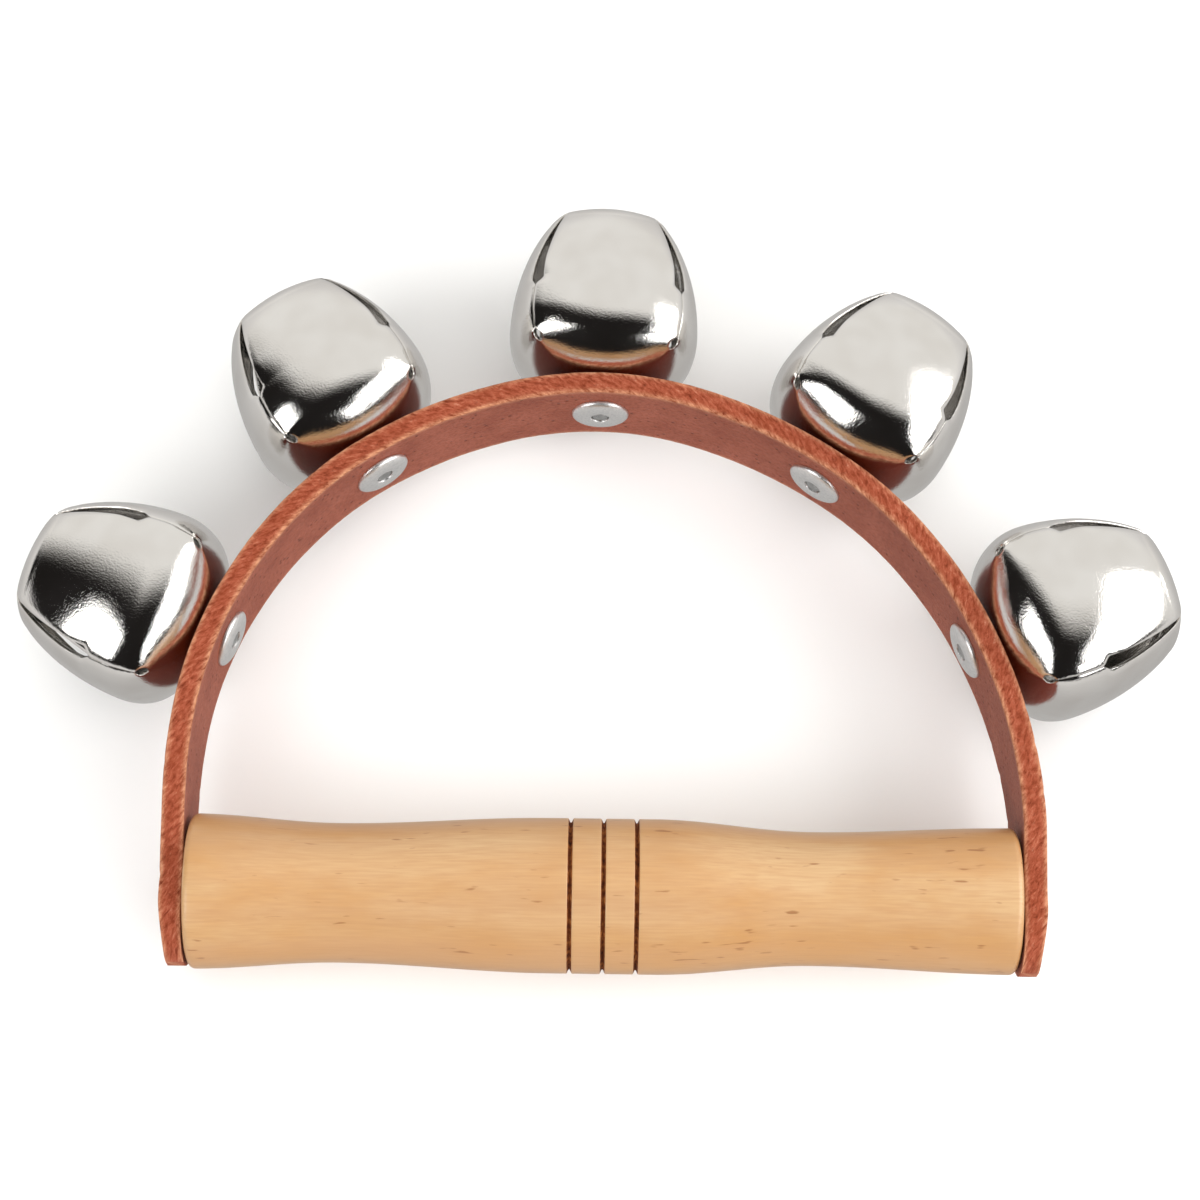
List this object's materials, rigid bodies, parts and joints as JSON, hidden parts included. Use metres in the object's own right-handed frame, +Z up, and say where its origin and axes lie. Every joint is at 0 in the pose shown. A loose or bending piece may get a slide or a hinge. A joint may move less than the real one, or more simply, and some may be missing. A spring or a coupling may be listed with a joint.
{
  "type": "sleigh bells",
  "caption": "Hand percussion: folded-sheet jingle bells riveted around a leather strap that is bent into an arch over a turned wooden grip.",
  "frame": {"origin": "middle of the underside of the whole object's bounding box, on the surface the bells rest on", "axes": "+X along the grip, +Y from the grip towards the crown of the arch, +Z up from the surface it lies on"},
  "size_m": [0.1674, 0.1158, 0.0284],
  "materials": {
    "maple": "satin lacquer over maple",
    "leather": "vegetable-tanned leather with raw cut edges",
    "nickel": "bright nickel plate on thin sheet steel",
    "aluminium": "plain",
    "steel": "zinc plated"
  },
  "bodies": {
    "frame": {"handle": "maple", "strap": "leather", "screw_left": "steel", "screw_right": "steel", "rivet_1": "aluminium", "mandrel_1": "steel", "rivet_2": "aluminium", "mandrel_2": "steel", "rivet_3": "aluminium", "mandrel_3": "steel", "rivet_4": "aluminium", "mandrel_4": "steel", "rivet_5": "aluminium", "mandrel_5": "steel"},
    "bell_1_body": {"bell_1": "nickel"},
    "pellet_1_body": {"pellet_1": "steel"},
    "bell_2_body": {"bell_2": "nickel"},
    "pellet_2_body": {"pellet_2": "steel"},
    "bell_3_body": {"bell_3": "nickel"},
    "pellet_3_body": {"pellet_3": "steel"},
    "bell_4_body": {"bell_4": "nickel"},
    "pellet_4_body": {"pellet_4": "steel"},
    "bell_5_body": {"bell_5": "nickel"},
    "pellet_5_body": {"pellet_5": "steel"}
  },
  "joints": [
    {"name": "bell_1_swivel", "type": "hinge", "parent": "frame", "child": "bell_1_body", "pos_m": [-0.05633, -0.00839, 0.01419], "axis": [-0.9303, 0.3669, 0], "continuous": true},
    {"name": "pellet_1_rattle", "type": "slide", "parent": "bell_1_body", "child": "pellet_1_body", "axis": [-0.0637, -0.1615, 0.9848], "range_m": [0, 0.0202]},
    {"name": "bell_2_swivel", "type": "hinge", "parent": "frame", "child": "bell_2_body", "pos_m": [-0.03413, 0.01941, 0.01419], "axis": [-0.5281, 0.8492, 0], "continuous": true},
    {"name": "pellet_2_rattle", "type": "slide", "parent": "bell_2_body", "child": "pellet_2_body", "axis": [0, 0, 1], "range_m": [0, 0.0202]},
    {"name": "bell_3_swivel", "type": "hinge", "parent": "frame", "child": "bell_3_body", "pos_m": [-0.00017, 0.03, 0.01419], "axis": [0.0349, 0.9994, 0], "continuous": true},
    {"name": "pellet_3_rattle", "type": "slide", "parent": "bell_3_body", "child": "pellet_3_body", "axis": [0.0523, -0.0018, 0.9986], "range_m": [0, 0.0202]},
    {"name": "bell_4_swivel", "type": "hinge", "parent": "frame", "child": "bell_4_body", "pos_m": [0.03352, 0.01865, 0.01419], "axis": [0.5535, 0.8329, 0], "continuous": true},
    {"name": "pellet_4_rattle", "type": "slide", "parent": "bell_4_body", "child": "pellet_4_body", "axis": [0.0871, -0.0579, 0.9945], "range_m": [0, 0.0202]},
    {"name": "bell_5_swivel", "type": "hinge", "parent": "frame", "child": "bell_5_body", "pos_m": [0.0562, -0.00863, 0.01419], "axis": [0.9447, 0.328, 0], "continuous": true},
    {"name": "pellet_5_rattle", "type": "slide", "parent": "bell_5_body", "child": "pellet_5_body", "axis": [0.0229, -0.0659, 0.9976], "range_m": [0, 0.0202]}
  ]
}
